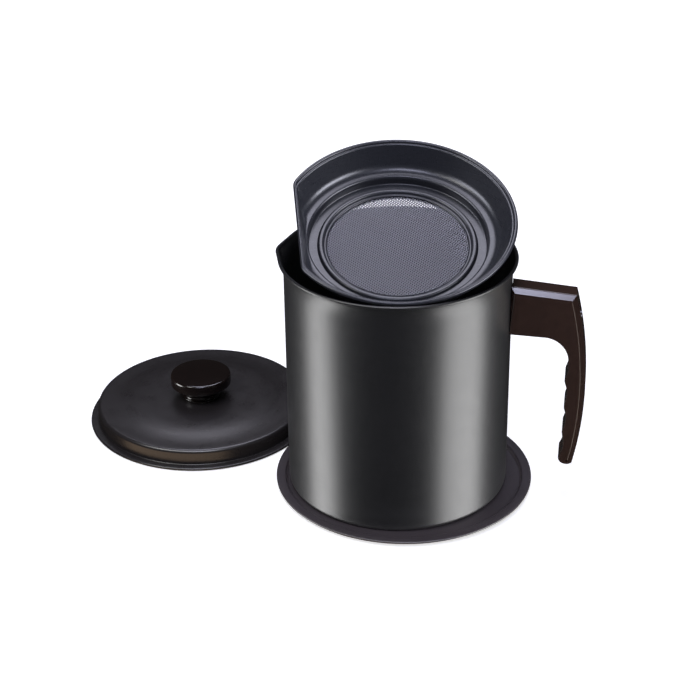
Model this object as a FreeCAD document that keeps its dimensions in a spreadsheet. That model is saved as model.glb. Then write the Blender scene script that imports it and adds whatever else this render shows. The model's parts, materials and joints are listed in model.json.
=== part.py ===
import FreeCAD, Part
import math
import os
import Sketcher

from FreeCAD import Vector

# Grease container: drawn can on a tray, strainer tilted over its mouth, knobbed lid beside it.
# The origin is where the can's axis meets the floor. +X runs through the handle, +Z is up.

SIZES = {
    "can_radius": 65.0,
    "can_height": 146.0,
    "can_sheet": 0.8,
    "foot_width": 8.0,
    "foot_rise": 1.5,
    "foot_bend": 4.0,
    "flare_height": 14.0,
    "flare_width": 3.0,
    "lip_bead": 1.0,
    "spout_lead": 2.0,
    "spout_tip_radius": 18.4,
    "seat_gap": 0.3,
    "rest_gap": 0.1,
    "tray_slack": 4.8,
    "tray_gap": 0.6,
    "tray_shift_angle": -22.0,
    "tray_slope": 0.8,
    "tray_flange": 5.8,
    "tray_rise": 3.4,
    "tray_sheet": 0.6,
    "tray_bead": 0.8,
    "handle_drop": 14.2,
    "handle_fall": 3.2,
    "handle_width": 17.0,
    "handle_bevel": 3.0,
    "arm_length": 36.3,
    "arm_depth": 29.0,
    "handle_reach": 44.0,
    "grip_depth": 12.0,
    "grip_tip": 16.0,
    "grip_tip_rise": 3.0,
    "grip_tip_share": 0.45,
    "grip_back_radius": 236.0,
    "crotch_radius": 14.0,
    "crotch_width": 12.5,
    "crotch_height": 16.0,
    "crotch_set": 1.5,
    "toe_lead": 1.5,
    "toe_height": 8.0,
    "groove_depth": 1.9,
    "groove_count": 3.7,
    "seat_cut": 4.0,
    "handle_gap": 0.2,
    "fit_gap": 0.05,
    "bracket_length": 15.0,
    "bracket_width": 8.0,
    "bracket_height": 14.0,
    "bracket_sheet": 1.5,
    "bracket_margin": 2.5,
    "screw_radius": 2.4,
    "screw_chamfer": 0.6,
    "screw_head_radius": 4.4,
    "screw_head_height": 2.6,
    "recess_gap": 0.8,
    "screw_seat": 30.0,
    "screw_length": 24.0,
    "washer_sheet": 0.8,
    "washer_margin": 0.4,
    "nut_length": 4.0,
    "lid_gap": 0.9,
    "lid_angle": 157.3,
    "lid_overlap": 3.1,
    "lid_step": 1.8,
    "lid_height": 11.4,
    "lid_crown": 1.6,
    "lid_crown_radius": 41.5,
    "lid_slope": 13.5,
    "lid_sheet": 0.6,
    "lid_bead": 0.9,
    "lid_bend": 2.2,
    "knob_radius": 19.0,
    "knob_foot_radius": 12.0,
    "knob_waist_radius": 10.5,
    "knob_rise": 17.0,
    "knob_band": 8.0,
    "knob_dome": 1.0,
    "knob_foot_rise": 1.2,
    "knob_undercut": 1.5,
    "knob_undercut_rise": 0.6,
    "insert_radius": 4.0,
    "insert_length": 9.0,
    "insert_gap": 0.3,
    "knob_screw_radius": 2.0,
    "knob_head_radius": 4.2,
    "knob_head_height": 2.2,
    "knob_washer_margin": 1.2,
    "knob_screw_length": 7.0,
    "strainer_inset": 1.6,
    "strainer_bead": 1.2,
    "strainer_sheet": 0.8,
    "flat_cut": 9.8,
    "strainer_corner": 10.0,
    "strainer_depth": 15.0,
    "strainer_draft": 8.4,
    "flat_draft": 3.2,
    "sump_margin": 0.8,
    "sump_drop": 5.5,
    "ring_inset": 8.0,
    "ring_bead": 1.7,
    "window_inset": 3.4,
    "mesh_overlap": 1.8,
    "mesh_pitch": 4.4,
    "mesh_wire": 1.0,
    "mesh_sheet": 0.6,
    "mesh_slack": 0.3,
    "clamp_sheet": 0.8,
    "clamp_margin": 1.4,
    "strainer_turn": 13.4,
    "tip_direction": -80.0,
    "tip_angle": 19.8,
}

doc = FreeCAD.newDocument("grease_container")
sheet = doc.addObject("Spreadsheet::Sheet", "Dim")
for row, (alias, value) in enumerate(SIZES.items(), start=1):
    sheet.set(f"A{row}", alias)
    sheet.set(f"B{row}", str(value))
    sheet.setAlias(f"B{row}", alias)
doc.recompute()

# Sizes that follow from the sheet's, as expressions over it
LIP = "(Dim.can_radius + Dim.flare_width)"
LIP_LINE = f"({LIP} - Dim.lip_bead)"
SPOUT_PITCH = f"({LIP} + Dim.spout_lead - Dim.spout_tip_radius)"
SPOUT_COS = f"(({LIP} - Dim.spout_tip_radius) / {SPOUT_PITCH})"
SPOUT_SIN = f"sqrt(1 - {SPOUT_COS} ^ 2)"
CAN_BASE = "(Dim.tray_sheet + Dim.rest_gap)"
FLARE_BASE = "(Dim.can_height - Dim.flare_height)"
TRAY_SHIFT = "(Dim.tray_slack - Dim.tray_gap)"
TRAY_X = f"({TRAY_SHIFT} * cos(Dim.tray_shift_angle * 1 deg))"
TRAY_Y = f"({TRAY_SHIFT} * sin(Dim.tray_shift_angle * 1 deg))"
RECESS = "(Dim.can_radius + Dim.tray_slack)"
TRAY_EDGE = f"({RECESS} + Dim.tray_slope + Dim.tray_flange)"
LID_EDGE = f"({LIP} + Dim.lid_overlap)"
LID_PLATE = f"({LIP} - Dim.lid_step)"
LID_AWAY = f"({TRAY_EDGE} + {LID_EDGE} + Dim.lid_gap)"
LID_X = f"({TRAY_X} + {LID_AWAY} * cos(Dim.lid_angle * 1 deg))"
LID_Y = f"({TRAY_Y} + {LID_AWAY} * sin(Dim.lid_angle * 1 deg))"
LID_TOP = "(Dim.lid_height + Dim.lid_crown)"
RIM_LINE = f"({LIP} - Dim.strainer_inset - Dim.strainer_bead)"
FLAT_LINE = f"({RIM_LINE} - Dim.flat_cut)"
SUMP = f"({FLAT_LINE} - Dim.flat_draft - Dim.sump_margin)"
SUMP_DEPTH = "(Dim.strainer_depth + Dim.sump_drop)"
RING = f"({SUMP} - Dim.ring_inset)"
WINDOW = f"({RING} - Dim.window_inset)"
MESH = f"({WINDOW} + Dim.mesh_overlap)"
SEAT_REACH = "(Dim.lip_bead + Dim.strainer_bead + Dim.seat_gap)"
SEAT_HEIGHT = (f"(Dim.can_height - Dim.lip_bead"
               f" + sqrt({SEAT_REACH} ^ 2 - ({LIP_LINE} - {RIM_LINE}) ^ 2))")
HANDLE_TOP = "(Dim.can_height - Dim.handle_drop)"
GRIP_BACK = "(Dim.can_radius + Dim.handle_reach)"
GRIP_FRONT = f"({GRIP_BACK} - Dim.grip_depth)"
ARM_UNDERSIDE = f"({HANDLE_TOP} - Dim.arm_depth)"
CROTCH_FOOT = f"({ARM_UNDERSIDE} - Dim.crotch_height)"
TOE = "(Dim.grip_tip + Dim.toe_height)"
GROOVE_PITCH = f"(({CROTCH_FOOT} - {TOE}) / Dim.groove_count)"
GROOVE_RADIUS = f"({GROOVE_PITCH} ^ 2 / (8 * Dim.groove_depth) + Dim.groove_depth / 2)"
SCREW_LINE = f"({HANDLE_TOP} - Dim.arm_depth / 2)"
SCREW_SEAT = "(Dim.can_radius + Dim.screw_seat)"
BRACKET_FOOT = "(Dim.arm_depth - 2 * Dim.bracket_margin)"


def size(expression):
    """Value of an expression over the sheet."""
    return float(sheet.evalExpression(expression))


def new_body(name):
    body = doc.addObject("PartDesign::Body", name)
    body.Label = name
    return body


def new_sketch(body, name, role="XZ_Plane", height=None):
    """Sketch on one of the body's origin planes, moved along its normal by an expression."""
    sketch = body.newObject("Sketcher::SketchObject", name)
    plane = next(item for item in body.Origin.OriginFeatures if item.Role == role)
    sketch.AttachmentSupport = [(plane, "")]
    sketch.MapMode = "FlatFace"
    if height is not None:
        sketch.setExpression("AttachmentOffset.Base.z", height)
    return sketch


def bind(sketch, constraint, expression):
    index = sketch.addConstraint(constraint)
    sketch.setExpression(f"Constraints[{index}]", expression)


def arc_between(start, end, radius, side):
    """Short arc between two points, bulging to the left (side 1) or right (side -1) of the way."""
    chord = end - start
    left = Vector(-chord.y, chord.x, 0).normalize()
    back = math.sqrt(radius ** 2 - (chord.Length / 2) ** 2)
    centre = (start + end) / 2 - left * back * side
    return arc_about(centre, start, end, radius, side < 0)


def arc_about(centre, start, end, radius, anticlockwise):
    """Arc of a circle and whether it runs from start to end."""
    first, last = (start, end) if anticlockwise else (end, start)
    angles = [math.atan2(point.y - centre.y, point.x - centre.x) for point in (first, last)]
    if angles[1] < angles[0]:
        angles[1] += 2 * math.pi
    circle = Part.Circle(centre, Vector(0, 0, 1), radius)
    return Part.ArcOfCircle(circle, *angles), anticlockwise


def outline(sketch, points):
    """Closed outline. A point is (across, up), and (across, up, radius, side) starts an arc."""
    places = [Vector(size(point[0]), size(point[1]), 0) for point in points]
    ends = []
    for number, point in enumerate(points):
        start = places[number]
        end = places[(number + 1) % len(points)]
        if len(point) == 2:
            sketch.addGeometry(Part.LineSegment(start, end), False)
            ends.append((1, 2))
            continue
        arc, onward = arc_between(start, end, size(point[2]), point[3])
        sketch.addGeometry(arc, False)
        ends.append((1, 2) if onward else (2, 1))
    join_and_pin(sketch, points, ends)


def join_and_pin(sketch, points, ends):
    """Close the outline's corners and hold its points and radii at their expressions."""
    for number in range(len(points)):
        following = (number + 1) % len(points)
        sketch.addConstraint(
            Sketcher.Constraint("Coincident", number, ends[number][1], following, ends[following][0]))
    for number, point in enumerate(points):
        corner = ends[number][0]
        across = Sketcher.Constraint("DistanceX", -1, 1, number, corner, size(point[0]))
        up = Sketcher.Constraint("DistanceY", -1, 1, number, corner, size(point[1]))
        bind(sketch, across, point[0])
        bind(sketch, up, point[1])
        if len(point) > 2:
            bind(sketch, Sketcher.Constraint("Radius", number, size(point[2])), point[2])


def circle(sketch, across, up, radius):
    """Full circle held at its centre and radius."""
    centre = Vector(size(across), size(up), 0)
    number = sketch.addGeometry(Part.Circle(centre, Vector(0, 0, 1), size(radius)), False)
    bind(sketch, Sketcher.Constraint("DistanceX", -1, 1, number, 3, centre.x), across)
    bind(sketch, Sketcher.Constraint("DistanceY", -1, 1, number, 3, centre.y), up)
    bind(sketch, Sketcher.Constraint("Radius", number, size(radius)), radius)


def revolve(body, name, sketch, kind="PartDesign::Revolution", axis="V_Axis"):
    turn = body.newObject(kind, name)
    turn.Profile = sketch
    turn.ReferenceAxis = (sketch, [axis])
    turn.Angle = 360
    sketch.Visibility = False
    doc.recompute()
    return turn


def turned(body, name, points, kind="PartDesign::Revolution"):
    """Solid of revolution about Z from an outline in the XZ plane."""
    sketch = new_sketch(body, name + "_profile")
    outline(sketch, points)
    return revolve(body, name, sketch, kind)


def turned_bead(body, name, across, up, radius):
    """Round bead about Z."""
    sketch = new_sketch(body, name + "_profile")
    circle(sketch, across, up, radius)
    return revolve(body, name, sketch)


def extrude(body, name, sketch, length, kind="PartDesign::Pad", reverse=False, middle=False):
    feature = body.newObject(kind, name)
    feature.Profile = sketch
    feature.setExpression("Length", length)
    feature.Reversed = reverse
    feature.SideType = "Symmetric" if middle else "One side"
    doc.recompute()
    return feature


def ring_edges(body, rings):
    """Names of the body's circular edges about Z at the given radii and heights."""
    wanted = [(size(radius), size(height)) for radius, height in rings]
    names = []
    for number, edge in enumerate(body.Shape.Edges, start=1):
        if edge.Degenerated or not isinstance(edge.Curve, Part.Circle):
            continue
        place = (edge.Curve.Radius, edge.Curve.Center.z)
        if any(math.dist(place, ring) < 0.01 for ring in wanted):
            names.append(f"Edge{number}")
    return names


def dress(body, name, names, radius, kind="PartDesign::Fillet"):
    """Fillet or chamfer on named edges of the body."""
    base = body.Tip
    feature = body.newObject(kind, name)
    feature.Base = (base, names)
    feature.setExpression("Radius" if kind == "PartDesign::Fillet" else "Size", radius)
    doc.recompute()
    return feature


def round_rings(body, name, radius, rings):
    return dress(body, name, ring_edges(body, rings), radius)


def place(thing, across, along, up="0"):
    """Bind an object's position."""
    thing.setExpression("Placement.Base.x", across)
    thing.setExpression("Placement.Base.y", along)
    thing.setExpression("Placement.Base.z", up)


def make_tray():
    """Stamped saucer: flat recess for the can, sloped wall, flange with a rolled edge."""
    body = new_body("coaster_tray")
    top = f"({RECESS} + Dim.tray_slope)"
    under = "(Dim.tray_rise - Dim.tray_sheet)"
    edge = f"({TRAY_EDGE} - Dim.tray_bead)"
    turned(body, "tray_sheet_metal", [
        ("0", "0"),
        (f"{RECESS} + Dim.tray_sheet", "0"),
        (f"{top} + Dim.tray_sheet", under),
        (edge, under),
        (edge, "Dim.tray_rise"),
        (top, "Dim.tray_rise"),
        (RECESS, "Dim.tray_sheet"),
        ("0", "Dim.tray_sheet"),
    ])
    round_rings(body, "tray_outer_bends", "2 * Dim.tray_sheet", [
        (f"{RECESS} + Dim.tray_sheet", "0"), (top, "Dim.tray_rise")])
    round_rings(body, "tray_inner_bends", "Dim.tray_sheet", [
        (RECESS, "Dim.tray_sheet"), (f"{top} + Dim.tray_sheet", under)])
    turned_bead(body, "tray_rolled_edge", edge, "Dim.tray_rise - Dim.tray_bead", "Dim.tray_bead")
    place(body, TRAY_X, TRAY_Y)


def spout_outline(sketch, main, tip):
    """Circle drawn out to a rounded tip on the -X side by two tangent lines."""
    root = (f"-{main} * {SPOUT_COS}", f"{main} * {SPOUT_SIN}")
    nose = (f"-({SPOUT_PITCH} + {tip} * {SPOUT_COS})", f"{tip} * {SPOUT_SIN}")
    points = [Vector(size(root[0]), size(root[1]), 0), Vector(size(nose[0]), size(nose[1]), 0),
              Vector(size(nose[0]), -size(nose[1]), 0), Vector(size(root[0]), -size(root[1]), 0)]
    tip_centre = Vector(-size(SPOUT_PITCH), 0, 0)
    sketch.addGeometry(Part.LineSegment(points[0], points[1]), False)
    sketch.addGeometry(arc_about(tip_centre, points[1], points[2], size(tip), True)[0], False)
    sketch.addGeometry(Part.LineSegment(points[2], points[3]), False)
    sketch.addGeometry(arc_about(Vector(), points[3], points[0], size(main), True)[0], False)
    pin_four(sketch, root, nose, main, tip)


def round_outline(sketch, radius):
    """Circle split where the spout's outline changes from arc to line."""
    away = f"sqrt(({SPOUT_PITCH} + Dim.spout_tip_radius * {SPOUT_COS}) ^ 2" \
           f" + (Dim.spout_tip_radius * {SPOUT_SIN}) ^ 2)"
    root = (f"-{radius} * {SPOUT_COS}", f"{radius} * {SPOUT_SIN}")
    nose = (f"-{radius} * ({SPOUT_PITCH} + Dim.spout_tip_radius * {SPOUT_COS}) / {away}",
            f"{radius} * Dim.spout_tip_radius * {SPOUT_SIN} / {away}")
    points = [Vector(size(root[0]), size(root[1]), 0), Vector(size(nose[0]), size(nose[1]), 0),
              Vector(size(nose[0]), -size(nose[1]), 0), Vector(size(root[0]), -size(root[1]), 0)]
    for number in range(4):
        arc = arc_about(Vector(), points[number], points[(number + 1) % 4], size(radius), True)[0]
        sketch.addGeometry(arc, False)
    pin_four(sketch, root, nose, radius, radius)


def pin_four(sketch, root, nose, main, tip):
    """Hold a four-piece outline by its two mirrored pairs of points and its radii."""
    for number in range(4):
        sketch.addConstraint(Sketcher.Constraint("Coincident", number, 2, (number + 1) % 4, 1))
    mirrored = [(root, 1), (nose, 1), (nose, -1), (root, -1)]
    for number, ((across, up), side) in enumerate(mirrored):
        up = up if side > 0 else f"-({up})"
        bind(sketch, Sketcher.Constraint("DistanceX", -1, 1, number, 1, size(across)), across)
        bind(sketch, Sketcher.Constraint("DistanceY", -1, 1, number, 1, size(up)), up)
    bind(sketch, Sketcher.Constraint("Radius", 3, size(main)), main)
    bind(sketch, Sketcher.Constraint("Radius", 1, size(tip)), tip)


def flare(body, name, inset, kind):
    """Trumpet mouth from the round wall to the spouted lip, drawn in by an inset."""
    low = new_sketch(body, name + "_foot", "XY_Plane", FLARE_BASE)
    round_outline(low, f"(Dim.can_radius - {inset})")
    middle = new_sketch(body, name + "_middle", "XY_Plane", f"{FLARE_BASE} + Dim.flare_height / 2")
    round_outline(middle, f"(Dim.can_radius + Dim.flare_width / 8 - {inset})")
    high = new_sketch(body, name + "_mouth", "XY_Plane", "Dim.can_height - Dim.lip_bead")
    spout_outline(high, f"({LIP} - Dim.lip_bead + Dim.can_sheet / 2 - {inset})",
                  f"(Dim.spout_tip_radius - Dim.lip_bead + Dim.can_sheet / 2 - {inset})")
    loft = body.newObject(kind, name)
    loft.Profile = low
    loft.Sections = [middle, high]
    loft.Ruled = False
    doc.recompute()
    return loft


def make_can():
    """Deep-drawn can with a raised bottom panel, trumpet mouth, spout and rolled lip."""
    body = new_body("can_body")
    panel = f"({CAN_BASE} + Dim.foot_rise)"
    foot = "(Dim.can_radius - Dim.foot_width)"
    ramp = f"({foot} - 2 * Dim.foot_rise)"
    inner = "(Dim.can_radius - Dim.can_sheet)"
    turned(body, "drawn_wall", [
        ("0", panel),
        (ramp, panel),
        (foot, CAN_BASE),
        ("Dim.can_radius", CAN_BASE),
        ("Dim.can_radius", FLARE_BASE),
        (inner, FLARE_BASE),
        (inner, f"{CAN_BASE} + Dim.can_sheet"),
        (foot, f"{CAN_BASE} + Dim.can_sheet"),
        (ramp, f"{panel} + Dim.can_sheet"),
        ("0", f"{panel} + Dim.can_sheet"),
    ])
    round_rings(body, "foot_outer_bend", "Dim.foot_bend", [("Dim.can_radius", CAN_BASE)])
    round_rings(body, "foot_inner_bend", "Dim.foot_bend - Dim.can_sheet",
                [(inner, f"{CAN_BASE} + Dim.can_sheet")])
    flare(body, "mouth", "0", "PartDesign::AdditiveLoft")
    flare(body, "mouth_hollow", "Dim.can_sheet", "PartDesign::SubtractiveLoft")
    spine = new_sketch(body, "lip_spine", "XY_Plane", "Dim.can_height - Dim.lip_bead")
    spout_outline(spine, LIP_LINE, "(Dim.spout_tip_radius - Dim.lip_bead)")
    bead = new_sketch(body, "lip_bead_profile")
    circle(bead, LIP_LINE, "Dim.can_height - Dim.lip_bead", "Dim.lip_bead")
    lip = body.newObject("PartDesign::AdditivePipe", "rolled_lip")
    lip.Profile = bead
    lip.Spine = (spine, ["Edge1", "Edge2", "Edge3", "Edge4"])
    doc.recompute()


def side_edges(body, wanted):
    """Names of the edges whose middle point satisfies a test."""
    names = []
    for number, edge in enumerate(body.Shape.Edges, start=1):
        middle = edge.valueAt((edge.FirstParameter + edge.LastParameter) / 2)
        if wanted(middle):
            names.append(f"Edge{number}")
    return names


def rectangle(sketch, across, up, width, height):
    """Rectangle about a centre."""
    left, right = f"{across} - {width} / 2", f"{across} + {width} / 2"
    low, high = f"{up} - {height} / 2", f"{up} + {height} / 2"
    outline(sketch, [(left, low), (right, low), (right, high), (left, high)])


def make_bracket():
    """Steel hat bracket welded to the wall, with the hole for the handle's screw."""
    body = new_body("handle_bracket")
    root = "(Dim.can_radius - Dim.seat_cut)"
    foot = "(Dim.can_radius + Dim.bracket_sheet)"
    end = "(Dim.can_radius + Dim.bracket_length)"
    half = "Dim.bracket_height / 2"
    foot_half = f"{BRACKET_FOOT} / 2"
    sketch = new_sketch(body, "hat_profile")
    outline(sketch, [
        (root, f"{SCREW_LINE} - {foot_half}"),
        (foot, f"{SCREW_LINE} - {foot_half}"),
        (foot, f"{SCREW_LINE} - {half}"),
        (end, f"{SCREW_LINE} - {half}"),
        (end, f"{SCREW_LINE} + {half}"),
        (foot, f"{SCREW_LINE} + {half}"),
        (foot, f"{SCREW_LINE} + {foot_half}"),
        (root, f"{SCREW_LINE} + {foot_half}"),
        (root, f"{SCREW_LINE} + {half} - Dim.bracket_sheet"),
        (f"{end} - Dim.bracket_sheet", f"{SCREW_LINE} + {half} - Dim.bracket_sheet"),
        (f"{end} - Dim.bracket_sheet", f"{SCREW_LINE} - {half} + Dim.bracket_sheet"),
        (root, f"{SCREW_LINE} - {half} + Dim.bracket_sheet"),
    ])
    extrude(body, "hat", sketch, "Dim.bracket_width", middle=True)
    fit_to_can(body, "bracket_seat", "Dim.can_radius + Dim.fit_gap")
    hole = new_sketch(body, "bracket_hole_profile", "YZ_Plane")
    circle(hole, "0", SCREW_LINE, "Dim.screw_radius + Dim.handle_gap")
    extrude(body, "bracket_hole", hole, "2 * Dim.can_radius", "PartDesign::Pocket", reverse=True)


def fit_to_can(body, name, radius):
    """Hollow the side that faces the can to the can's roundness."""
    sketch = new_sketch(body, name + "_profile", "XY_Plane")
    circle(sketch, "0", "0", radius)
    extrude(body, name, sketch, "4 * Dim.can_height", "PartDesign::Pocket", middle=True)


def ridge(number):
    """Place of one ridge between the finger grooves, counted up from the toe."""
    across = f"{GRIP_FRONT} - Dim.toe_lead * (1 - {number} / 2) ^ 2"
    return across, f"{TOE} + {number} * {GROOVE_PITCH}", GROOVE_RADIUS, -1


def grip_points():
    """Side outline of the handle: falling arm, bowed back, finger grooves in front."""
    root = "(Dim.can_radius - Dim.seat_cut)"
    tip_radius = "(Dim.grip_depth * Dim.grip_tip_share)"
    crotch = f"{GRIP_FRONT} + Dim.crotch_set"
    return [
        (root, f"{HANDLE_TOP} + Dim.handle_fall * Dim.seat_cut / Dim.arm_length"),
        ("Dim.can_radius + Dim.arm_length", f"{HANDLE_TOP} - Dim.handle_fall",
         "Dim.grip_back_radius", 1),
        (f"{GRIP_BACK} - {tip_radius}", "Dim.grip_tip + Dim.grip_tip_rise", tip_radius, 1),
        ridge(0),
        ridge(1),
        ridge(2),
        ridge(3),
        (crotch, CROTCH_FOOT, "Dim.crotch_radius", -1),
        (f"{crotch} - Dim.crotch_width", ARM_UNDERSIDE),
        (root, ARM_UNDERSIDE),
    ]


def make_grip():
    """Moulded handle with bevelled sides, a socket for the bracket and a deep screw hole."""
    body = new_body("handle_grip")
    sketch = new_sketch(body, "grip_profile")
    outline(sketch, grip_points())
    extrude(body, "grip_blank", sketch, "Dim.handle_width", middle=True)
    back = size(f"{GRIP_FRONT} + Dim.grip_depth / 2")
    top = size(f"{HANDLE_TOP} - Dim.arm_depth / 2")
    side = size("Dim.handle_width") / 2
    low = size("Dim.grip_tip + Dim.toe_height / 2")
    high = size(f"{CROTCH_FOOT} + Dim.crotch_height / 4")
    ridges = side_edges(body, lambda middle: abs(middle.y) < 0.01 and middle.x < back
                        and low < middle.z < high)
    dress(body, "ridge_rounding", ridges, "Dim.handle_bevel / 2")
    outer = side_edges(body, lambda middle: abs(abs(middle.y) - side) < 0.01
                       and (middle.x > back or middle.z > top) and middle.x > size("Dim.can_radius"))
    dress(body, "outer_bevel", outer, "Dim.handle_bevel", "PartDesign::Chamfer")
    fit_to_can(body, "grip_seat", "Dim.can_radius + Dim.handle_gap")
    socket = new_sketch(body, "socket_profile", "YZ_Plane")
    width = "(Dim.bracket_width + 2 * Dim.handle_gap)"
    rectangle(socket, "0", SCREW_LINE, width, "(Dim.bracket_height + 2 * Dim.handle_gap)")
    extrude(body, "socket", socket, "Dim.can_radius + Dim.bracket_length + Dim.handle_gap",
            "PartDesign::Pocket", reverse=True)
    shallow = new_sketch(body, "foot_socket_profile", "YZ_Plane")
    rectangle(shallow, "0", SCREW_LINE, width, f"({BRACKET_FOOT} + 2 * Dim.handle_gap)")
    extrude(body, "foot_socket", shallow, "Dim.can_radius + Dim.bracket_sheet + Dim.handle_gap",
            "PartDesign::Pocket", reverse=True)
    hole = new_sketch(body, "screw_way_profile", "YZ_Plane")
    circle(hole, "0", SCREW_LINE, "Dim.screw_radius + Dim.handle_gap")
    extrude(body, "screw_way", hole, "3 * Dim.can_radius", "PartDesign::Pocket", reverse=True)
    bore = new_sketch(body, "head_recess_profile", "YZ_Plane", SCREW_SEAT)
    circle(bore, "0", SCREW_LINE, "Dim.screw_head_radius + Dim.recess_gap")
    extrude(body, "head_recess", bore, "Dim.can_radius", "PartDesign::Pocket", reverse=True)


def turned_about_screw(name, points):
    """Solid of revolution about the handle screw's own line, its length along +X."""
    body = new_body(name)
    sketch = new_sketch(body, name + "_profile")
    outline(sketch, points)
    revolve(body, name + "_turned", sketch, axis="H_Axis")
    return body


def make_handle_fasteners():
    """Long screw, its washer under the head, and the square nut caught in the bracket."""
    tip = "-(Dim.screw_length)"
    screw = turned_about_screw("handle_screw", [
        (tip, "0"),
        ("Dim.screw_head_height", "0"),
        ("Dim.screw_head_height", "Dim.screw_head_radius / 2"),
        ("Dim.screw_head_height / 2", "Dim.screw_head_radius"),
        ("0", "Dim.screw_head_radius"),
        ("0", "Dim.screw_radius"),
        (f"{tip} + Dim.screw_chamfer", "Dim.screw_radius"),
        (tip, "Dim.screw_radius - Dim.screw_chamfer"),
    ])
    place(screw, f"{SCREW_SEAT} + Dim.washer_sheet + 2 * Dim.fit_gap", "0", SCREW_LINE)
    washer = turned_about_screw("handle_washer", [
        ("0", "Dim.screw_radius + Dim.handle_gap / 2"),
        ("Dim.washer_sheet", "Dim.screw_radius + Dim.handle_gap / 2"),
        ("Dim.washer_sheet", "Dim.screw_head_radius + Dim.washer_margin"),
        ("0", "Dim.screw_head_radius + Dim.washer_margin"),
    ])
    place(washer, f"{SCREW_SEAT} + Dim.fit_gap", "0", SCREW_LINE)
    nut = new_body("handle_nut")
    sketch = new_sketch(nut, "nut_profile", "YZ_Plane")
    width = "(Dim.bracket_width - 2 * Dim.handle_gap)"
    rectangle(sketch, "0", "0", width, width)
    circle(sketch, "0", "0", "Dim.screw_radius + Dim.fit_gap")
    extrude(nut, "nut_block", sketch, "Dim.nut_length")
    crown = "Dim.can_radius + Dim.bracket_length - Dim.bracket_sheet"
    place(nut, f"{crown} - Dim.nut_length - Dim.fit_gap", "0", SCREW_LINE)


def make_lid():
    """Drawn lid: low crown, rounded plate edge, skirt, flange with its edge rolled under."""
    body = new_body("lid_cover")
    metal = "Dim.lid_sheet"
    slope = "(Dim.lid_crown_radius + Dim.lid_slope)"
    edge = f"({LID_EDGE} - Dim.lid_bead)"
    hole = "(Dim.knob_screw_radius + Dim.handle_gap)"
    flange = "(2 * Dim.lid_bead)"
    turned(body, "lid_sheet_metal", [
        (hole, LID_TOP),
        ("Dim.lid_crown_radius", LID_TOP),
        (slope, "Dim.lid_height"),
        (LID_PLATE, "Dim.lid_height"),
        (LID_PLATE, flange),
        (edge, flange),
        (edge, f"{flange} - {metal}"),
        (f"{LID_PLATE} - {metal}", f"{flange} - {metal}"),
        (f"{LID_PLATE} - {metal}", f"Dim.lid_height - {metal}"),
        (slope, f"Dim.lid_height - {metal}"),
        ("Dim.lid_crown_radius", f"{LID_TOP} - {metal}"),
        (hole, f"{LID_TOP} - {metal}"),
    ])
    round_rings(body, "plate_outer_bend", "Dim.lid_bend", [(LID_PLATE, "Dim.lid_height")])
    round_rings(body, "plate_inner_bend", f"Dim.lid_bend - {metal}",
                [(f"{LID_PLATE} - {metal}", f"Dim.lid_height - {metal}")])
    round_rings(body, "skirt_bend", metal, [(LID_PLATE, flange)])
    round_rings(body, "skirt_inner_bend", f"2 * {metal}",
                [(f"{LID_PLATE} - {metal}", f"{flange} - {metal}")])
    turned_bead(body, "lid_rolled_edge", edge, "Dim.lid_bead", "Dim.lid_bead")
    place(body, LID_X, LID_Y)


def make_knob():
    """Moulded mushroom knob with a threaded insert, held by a screw from under the lid."""
    knob = new_body("lid_knob")
    band = "(Dim.knob_rise - Dim.knob_band)"
    shoulder = "(Dim.knob_rise - Dim.knob_dome)"
    insert = "(Dim.insert_radius + Dim.fit_gap)"
    depth = "(Dim.insert_length + Dim.insert_gap)"
    dome = "(Dim.knob_radius ^ 2 + Dim.knob_dome ^ 2) / (2 * Dim.knob_dome)"
    turned(knob, "knob_body", [
        (insert, "0"),
        ("Dim.knob_foot_radius", "0"),
        ("Dim.knob_foot_radius", "Dim.knob_foot_rise"),
        ("Dim.knob_waist_radius", "2 * Dim.knob_foot_rise", "Dim.knob_radius - Dim.knob_waist_radius", -1),
        ("Dim.knob_radius - Dim.knob_undercut", f"{band} - Dim.knob_undercut_rise"),
        ("Dim.knob_radius", f"{band} + Dim.knob_undercut_rise"),
        ("Dim.knob_radius", shoulder, dome, -1),
        ("0", "Dim.knob_rise"),
        ("0", depth),
        (insert, depth),
    ])
    round_rings(knob, "knob_shoulder", "2 * Dim.knob_dome", [("Dim.knob_radius", shoulder)])
    place(knob, LID_X, LID_Y, f"{LID_TOP} + Dim.fit_gap")
    bush = new_body("knob_insert")
    turned(bush, "insert_bush", [
        ("Dim.knob_screw_radius + Dim.fit_gap", "2 * Dim.fit_gap"),
        ("Dim.insert_radius", "2 * Dim.fit_gap"),
        ("Dim.insert_radius", "Dim.insert_length"),
        ("Dim.knob_screw_radius + Dim.fit_gap", "Dim.insert_length"),
    ])
    place(bush, LID_X, LID_Y, f"{LID_TOP} + Dim.fit_gap")
    make_knob_screw()


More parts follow.
